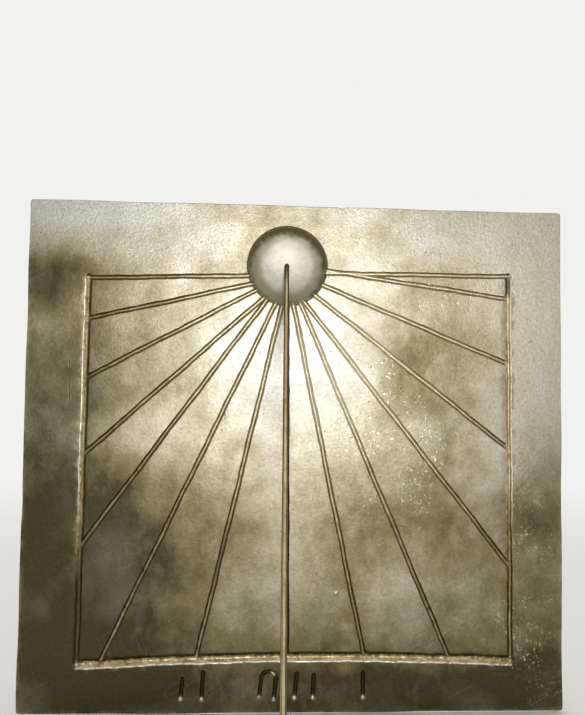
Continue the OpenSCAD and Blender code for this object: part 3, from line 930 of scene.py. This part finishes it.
row_number = np.arange(len(dish_points)) // AROUND - len(dish_front) // AROUND
dish = make_piece(
    "turned_sun_dish", dish_points, dish_faces,
    normals=np.concatenate([dish_facing, np.zeros((len(dish_back), 3))]), values=[
        ("cut", np.concatenate([notch, np.zeros(len(dish_back))])),
        ("tinned", (row_number >= 3) & (row_number < 3 + len(solder))),
        ("bare_back", row_number >= 2)])

DISH_GRAIN = 0.00006
dish_finish = Finish("silvered_turned_brass")
tree = dish_finish.tree
# Painted light: the dish's silvering is made lighter than the plate's, and lighter mottles go over it
silvering(dish_finish, -0.10)
painted_light_mottles = cloud(tree, 130, 4, 0.62, 0.3)
dish_finish.lay(0.65, painted_light_mottles.shades((0.42, (0.69, 0.675, 0.52)), (0.56, (0.84, 0.83, 0.72))))
# Painted highlight above the dish's middle
bright = spot(tree, DISH_X / 1000 + 0.001, DISH_Z / 1000 + 0.011, 0.022, 0.013)
dish_finish.lay(bright * 0.3, (0.92, 0.905, 0.82))
dish_finish.rough = dish_finish.rough + 0.13
from_centre = place_in_piece(tree).vector(
    "SUBTRACT", (DISH_X / 1000, FRONT / 1000, DISH_Z / 1000)).vector("MULTIPLY", (1, 0, 1))
out = from_centre.vector("LENGTH")
uneven_out = out + (cloud(tree, 200, 4, 0.65) - 0.5) * 0.007
# Painted shade: darker towards the rim, most towards the bottom and the left
dish_shade_out = uneven_out + from_centre.vector("DOT_PRODUCT", (-0.06, 0, -0.13))
dish_finish.lay(dish_shade_out.span(0.0128, 0.0208, 0, 0.8, "SMOOTHSTEP"), (0.40, 0.36, 0.21))
laid_bare(dish_finish)
# Painted shade: a dark ring inside the rim, widest at the top
rim_shade_out = uneven_out + from_centre.vector("DOT_PRODUCT", (0.015, 0, 0.085))
dish_finish.lay(rim_shade_out.span(0.0190, 0.0234, 0, 0.88, "SMOOTHSTEP"), (0.125, 0.100, 0.048))
left_bare(dish_finish)
dish_finish.lay(value_of(tree, "tinned"), (0.42, 0.42, 0.40))
rings = Step(tree, "TexNoise", {"W": out, "Scale": 2600, "Detail": 2}, noise_dimensions="1D")
dish_finish.height = dish_finish.height + rings * 0.5
dish.data.materials.append(dish_finish.applied(DISH_GRAIN))
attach(dish, "root")
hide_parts("sun_dish")

# Gnomon rod. Drawn 3 mm brass rod, filed round at its free end. Its other end goes through the
# dish and the socket behind it, and carries a cut M3 thread for the nut.
ROD_R, ROD_REACH, ROD_TAIL, THREAD_FROM = 1.5, 299.95, 18.5, 11.0
rod_side = np.array([math.cos(ROD_LEAN), 0, -math.sin(ROD_LEAN)])
rod_frame = np.stack([rod_side, np.cross(rod_along, rod_side), rod_along], 1)
AROUND_FITTING = 64


def lathed(rows, around=AROUND_FITTING):
    """Points and faces of a turned shape. Each row is a radius, or one for each angle, and a
    length along the axis. The rows run along the axis for an outside, and back for a bore."""
    turn = all_round(around)
    points, quads = band([np.stack([r * np.cos(turn), r * np.sin(turn), along + 0 * turn], 1)
                          for r, along in rows])
    return points, quads[:, ::-1].tolist()


def threaded(radius, pitch, first, last, chamfer, around=28):
    """A screw thread with flat crests and roots. It is cut off at both ends, and the last end is
    chamfered and closed by a flat face."""
    root = radius - 0.61 * pitch
    shape = [(0, radius), (0.125, radius), (0.44, root), (0.68, root)]
    turns = int(math.ceil((last - first) / pitch)) + 2
    column, turn = np.arange(around), all_round(around)
    rows = []
    for j in range(4 * turns):
        share, r = shape[j % 4]
        along = np.clip(first - pitch + pitch * (j // 4 + share + column / around), first, last)
        width = np.minimum(r, radius - chamfer + np.maximum(last - along, 0))
        rows.append(np.stack([width * np.cos(turn), width * np.sin(turn), along], 1))
    count = len(rows)
    corner = np.arange(around - 1)
    quads = [np.stack([j * around + corner, j * around + corner + 1, (j + 1) * around + corner + 1,
                       (j + 1) * around + corner], 1) for j in range(count - 1)]
    seam = np.array([[j * around + around - 1, (j + 4) * around, (j + 5) * around,
                      (j + 1) * around + around - 1] for j in range(count - 5)])
    face = lathed([(radius - chamfer, last), (0.5 * (radius - chamfer), last + 0.02),
                   (0.01, last + 0.03)], around)
    return joined((np.concatenate(rows), np.concatenate(quads + [seam])), face)


def on_rod(points):
    """Moves points whose Z runs along the rod, up and back from the dish's floor, to their place."""
    return rod_foot + points @ rod_frame.T


rod_rows = [(ROD_R * math.sin(t), -ROD_REACH + ROD_R * (1 - math.cos(t)))
            for t in np.linspace(0.02, math.pi / 2, 10)]
for along in np.linspace(-ROD_REACH + 4, THREAD_FROM, 80):
    rod_rows.append((ROD_R - 0.012 * (1 + math.sin(along * 0.9) * math.sin(along * 0.23)), along))
rod_rows.append((ROD_R - 0.3, THREAD_FROM + 0.15))
rod_points, rod_faces = joined(lathed(rod_rows, 40),
                               threaded(ROD_R, 0.5, THREAD_FROM + 0.1, ROD_TAIL - 0.03, 0.4))
out_of_dish = -rod_points[:, 2]
rod = make_piece("brass_gnomon_rod", on_rod(rod_points), rod_faces, sharp=40, values=[
    ("foot", np.exp(-np.maximum(out_of_dish - 2, 0) / 9.0)),
    ("left", 0.5 - 0.5 * rod_points[:, 0] / ROD_R),
    ("coppery", np.exp(-((out_of_dish - 78) / 46.0) ** 4))])


def brass(name, bright, middle, dark, turn, lines, tarnish=0.5, smooth=0.30):
    """Bare brass that has darkened with age: fine tool lines in one direction, brown tarnish in
    patches.
    """
    finish = Finish(name)
    tree = finish.tree
    patches = cloud(tree, 60, 4, 0.6, 0.4) * 0.6 + cloud(tree, 350, 3, 0.6) * 0.4
    marks = cloud(tree, 1, 3, 0.6, stretch=lines, turn=turn)
    finish.colour = patches.span(0.36, 0.62).shades((0.0, dark), (0.5, middle), (1.0, bright))
    finish.lay(marks.span(0.5, 0.7) * tarnish, dark)
    finish.rough = (patches.span(0.36, 0.62, smooth + 0.16, smooth)
                    + marks.span(0.4, 0.7, -0.03, 0.06))
    finish.height = marks + cloud(tree, 1800, 2) * 0.35
    return finish


BRASS_GRAIN = 0.00005
ALONG_ROD = (ROD_ANGLE, 0, 0)
rod_finish = brass("drawn_brass", (0.88, 0.80, 0.54), (0.76, 0.66, 0.38), (0.42, 0.32, 0.15),
                   ALONG_ROD, (2200, 2200, 14), tarnish=0.3, smooth=0.20)
tree = rod_finish.tree
# Painted reflection: a coppery tint along a stretch of the rod near the dish
rod_finish.lay(value_of(tree, "coppery") * 0.65, (0.56, 0.33, 0.16))
# Painted shade on the rod: a brown left edge and a near-black right side
left = value_of(tree, "left") + (cloud(tree, 90) - 0.5) * 0.12
rod_finish.lay(left.span(0.62, 0.76, 0, 0.88, "SMOOTHSTEP"), (0.24, 0.14, 0.055))
rod_finish.lay(left.span(0.42, 0.28, 0, 0.94, "SMOOTHSTEP"), (0.070, 0.050, 0.020))
rod_finish.lay(value_of(tree, "foot") * 0.85, (0.10, 0.075, 0.035))
rod.data.materials.append(rod_finish.applied(BRASS_GRAIN))
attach(rod, "root")
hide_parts("gnomon_rod")

# Gnomon socket. A short turned brass boss behind the dish, drilled for the rod and soldered to
# the back of the dish's floor, where a fillet of grey solder runs round it.
SOCKET_R, SOCKET_BORE, SOCKET_END = 5.0, 1.56, 13.5
ball_centre = np.array([DISH_X, FRONT + DISH_DEEP - FLOOR_R, DISH_Z])
socket_turn = all_round(AROUND_FITTING)


def on_dish_back(radius, lift):
    """Length along the rod at which lines beside it come this near to the back of the dish."""
    beside = rod_foot + radius * np.cos(socket_turn)[:, None] * rod_frame[:, 0] \
        + radius * np.sin(socket_turn)[:, None] * rod_frame[:, 1] - ball_centre
    along = beside @ rod_along
    ball_r = FLOOR_R + DISH_WALL + lift
    return -along + np.sqrt(along ** 2 - (beside ** 2).sum(1) + ball_r ** 2)


fillet = [(SOCKET_R + out, on_dish_back(SOCKET_R + out, lift))
          for out, lift in [(1.0, 0.02), (0.5, 0.2), (0.18, 0.55), (0.0, 1.0)]]
fillet_end = fillet[-1][1]
socket_rows = fillet + [(SOCKET_R, fillet_end + share * (SOCKET_END - 0.5 - fillet_end))
                        for share in (0.33, 0.66, 1.0)]
socket_rows += [(SOCKET_R - 0.15, SOCKET_END - 0.15), (SOCKET_R - 0.5, SOCKET_END),
                (3.5, SOCKET_END), (2.0, SOCKET_END), (1.75, SOCKET_END - 0.1),
                (SOCKET_BORE, SOCKET_END - 0.35), (SOCKET_BORE, SOCKET_END - 3)]
socket_points, socket_faces = lathed(socket_rows)
socket = make_piece("soldered_rod_socket", on_rod(socket_points), socket_faces, sharp=35,
                    values=[("tinned", np.arange(len(socket_points)) < AROUND_FITTING * len(fillet))])


def fitting_brass(name, turn, lines):
    """Turned brass of the fixings, duller than the rod, with grey solder where it is tinned."""
    finish = brass(name, (0.70, 0.54, 0.29), (0.55, 0.40, 0.19), (0.24, 0.16, 0.07), turn, lines,
                   tarnish=0.35, smooth=0.32)
    solder_tone = cloud(finish.tree, 500).shades((0.35, (0.30, 0.30, 0.285)),
                                                 (0.65, (0.50, 0.50, 0.48)))
    finish.lay(value_of(finish.tree, "tinned"), solder_tone)
    return finish.applied(BRASS_GRAIN)


socket.data.materials.append(fitting_brass("turned_brass_on_the_slant", ALONG_ROD, (40, 40, 2600)))
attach(socket, "root")
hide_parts("gnomon_socket")

# Gnomon washer. A brass ring punched from sheet, so one edge is rounded and the other is sharp.
# It lies on the end of the socket, under the nut.
WASHER_T, WASHER_R, WASHER_BORE = 0.5, 3.5, 1.6
washer_rows = [(WASHER_BORE, 0.42), (WASHER_BORE, 0.02), (WASHER_BORE + 0.02, 0), (2.5, 0),
               (WASHER_R - 0.03, 0), (WASHER_R, 0.04), (WASHER_R, 0.3), (WASHER_R - 0.06, 0.43),
               (WASHER_R - 0.22, WASHER_T), (2.6, WASHER_T), (WASHER_BORE + 0.12, WASHER_T),
               (WASHER_BORE, 0.42)]
washer_points, washer_faces = lathed([(r, SOCKET_END + along) for r, along in washer_rows], 56)
washer = make_piece("punched_washer", on_rod(washer_points), washer_faces, sharp=35)
washer.data.materials.append(fitting_brass("punched_brass", (ROD_ANGLE, 0, 0.6), (1500, 60, 60)))
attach(washer, "root")
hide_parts("gnomon_washer")

# Gnomon nut. A plain M3 nut, milled from hexagon brass and chamfered on both faces. It draws the
# rod up in its socket and locks it there.
ROD_NUT_FLATS, ROD_NUT_T, ROD_NUT_BORE = 5.5, 2.4, 1.52


def hexagon_nut(flats, thick, bore, around=96):
    """A nut along its axis from 0, with the curved edges that a chamfer leaves on a hexagon."""
    away = (all_round(around) + math.pi / 6) % (math.pi / 3) - math.pi / 6
    flat_out = flats / 2 / np.cos(away)
    face_r = flats / 2 * 0.96
    chamfer = (flat_out - face_r) * math.tan(math.radians(30))
    lead = 0.08 * flats
    return lathed([(bore, thick - lead), (bore, lead), (bore + 0.7 * lead, 0.0), (face_r, 0.0),
                   (flat_out, chamfer), (flat_out, thick - chamfer), (face_r, thick),
                   (bore + 0.7 * lead, thick), (bore, thick - lead)], around)


nut_points, nut_faces = hexagon_nut(ROD_NUT_FLATS, ROD_NUT_T, ROD_NUT_BORE)
nut_points[:, 2] += SOCKET_END + WASHER_T
rod_nut = make_piece("rod_lock_nut", on_rod(nut_points), nut_faces, sharp=25)
rod_nut.data.materials.append(fitting_brass("milled_brass", ALONG_ROD, (1300, 1300, 30)))
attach(rod_nut, "root")
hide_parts("gnomon_nut")

# Stud pads, four. Brass discs of 20 mm, faced, tapped M5 in the middle and soldered flat to the
# back of the plate, where an uneven ring of grey solder stands round each.
STUD_X, STUD_Z = 130.0, 120.0
PAD_R, PAD_T, STUD_FRONT_R = 10.0, 2.0, 2.5
corners = {"top_left": (-STUD_X, STUD_Z), "top_right": (STUD_X, STUD_Z),
           "bottom_left": (-STUD_X, -STUD_Z), "bottom_right": (STUD_X, -STUD_Z)}
across_wall = np.array([[1.0, 0, 0], [0, 0, -1.0], [0, 1.0, 0]])


def at_corner(points, corner, from_y):
    """Moves points whose Z runs into the wall to one corner of the studs, this far along Y."""
    return points @ across_wall + np.array([corner[0], from_y, corner[1]])


pad_finish = fitting_brass("soldered_pad_brass", (0, 0, 0), (60, 60, 60))
for place, corner in corners.items():
    uneven = 1 + 0.12 * np.sin(3 * socket_turn + corner[0]) \
        + 0.08 * np.sin(7 * socket_turn + corner[1])
    pad_solder = [(PAD_R + 1.1 * uneven, 0.01), (PAD_R + 0.5 * uneven, 0.22),
                  (PAD_R + 0.16 * uneven, 0.6), (PAD_R, 1.0)]
    pad_points, pad_faces = lathed(pad_solder + [
        (PAD_R, PAD_T - 0.35), (PAD_R - 0.1, PAD_T - 0.12), (PAD_R - 0.35, PAD_T), (9.0, PAD_T),
        (8.0, PAD_T), (6.0, PAD_T), (4.0, PAD_T), (STUD_FRONT_R + 0.3, PAD_T),
        (STUD_FRONT_R + 0.05, PAD_T - 0.3), (STUD_FRONT_R + 0.05, 0.02)])
    pad = make_piece("soldered_pad_" + place, at_corner(pad_points, corner, BACK), pad_faces,
                     sharp=35, values=[("tinned", np.arange(len(pad_points))
                                        < AROUND_FITTING * len(pad_solder))])
    pad.data.materials.append(pad_finish)
    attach(pad, "root")
    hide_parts("stud_pad_" + place)

# Wall studs, four. Brass rod cut M6 from end to end, and turned down to M5 at the front end,
# which screws through the nut into the pad. The long end is set in the wall.
STUD_R, STUD_IN_WALL, SHOULDER_AT, STUD_CHAMFER = 3.0, 40.0, 6.5, 0.8
stud_finish = fitting_brass("threaded_stud_brass", (0, 0, 0), (50, 900, 50))
stud_points, stud_faces = joined(
    threaded(STUD_R, 1.0, SHOULDER_AT, STUD_IN_WALL - BACK - 0.03, STUD_CHAMFER, 32),
    threaded(STUD_FRONT_R, 0.8, 0.02, SHOULDER_AT + 0.1, 0.0, 28),
    lathed([(0.01, 0.02), (STUD_FRONT_R - 0.45, 0.02)], 28),
    lathed([(STUD_FRONT_R - 0.5, SHOULDER_AT), (STUD_R - 0.5, SHOULDER_AT)], 32))
for place, corner in corners.items():
    stud = make_piece("threaded_stud_" + place, at_corner(stud_points, corner, BACK), stud_faces,
                      sharp=30)
    stud.data.materials.append(stud_finish)
    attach(stud, "root")
    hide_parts("wall_stud_" + place)

# Stud nuts, four. Plain M5 nuts, milled from hexagon brass and chamfered. They lock the studs in
# the pads, inside the spacer tubes.
STUD_NUT_FLATS, STUD_NUT_T, STUD_NUT_BORE = 8.0, 4.0, 2.52
stud_nut_finish = fitting_brass("stud_nut_brass", (0, 0, 0), (1200, 30, 1200))
stud_nut_points, stud_nut_faces = hexagon_nut(STUD_NUT_FLATS, STUD_NUT_T, STUD_NUT_BORE)
for place, corner in corners.items():
    stud_nut = make_piece("stud_lock_nut_" + place, at_corner(stud_nut_points, corner, BACK + PAD_T),
                          stud_nut_faces, sharp=25)
    stud_nut.data.materials.append(stud_nut_finish)
    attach(stud_nut, "root")
    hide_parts("stud_nut_" + place)

# Spacer tubes, four. Cut from thick brass tube, faced in the lathe and chamfered, and slipped
# over the studs between the pads and the wall.
TUBE_R, TUBE_BORE, TUBE_LONG, TUBE_FACE_R = 8.0, 5.2, 18.0, 6.6
tube_finish = fitting_brass("turned_tube_brass", (0, 0, 0), (40, 1700, 40))
chamfered_end = [(TUBE_BORE + 0.3, 0.0), (TUBE_FACE_R, 0.0), (TUBE_R - 0.4, 0.0),
                 (TUBE_R - 0.12, 0.12), (TUBE_R, 0.4)]
turned_side = [(TUBE_R - 0.015 * (1 + math.sin(along * 2.1)), along)
               for along in np.linspace(1.5, TUBE_LONG - 1.5, 14)]
tube_points, tube_faces = lathed(
    [(TUBE_BORE, TUBE_LONG - 0.3), (TUBE_BORE, TUBE_LONG / 2), (TUBE_BORE, 0.3)] + chamfered_end
    + turned_side + [(r, TUBE_LONG - along) for r, along in chamfered_end[::-1]]
    + [(TUBE_BORE, TUBE_LONG - 0.3)], 72)
for place, corner in corners.items():
    tube = make_piece("faced_spacer_tube_" + place, at_corner(tube_points, corner, -TUBE_LONG),
                      tube_faces, sharp=35)
    tube.data.materials.append(tube_finish)
    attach(tube, "root")
    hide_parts("spacer_tube_" + place)

bpy.context.scene.view_settings.view_transform = "Standard"
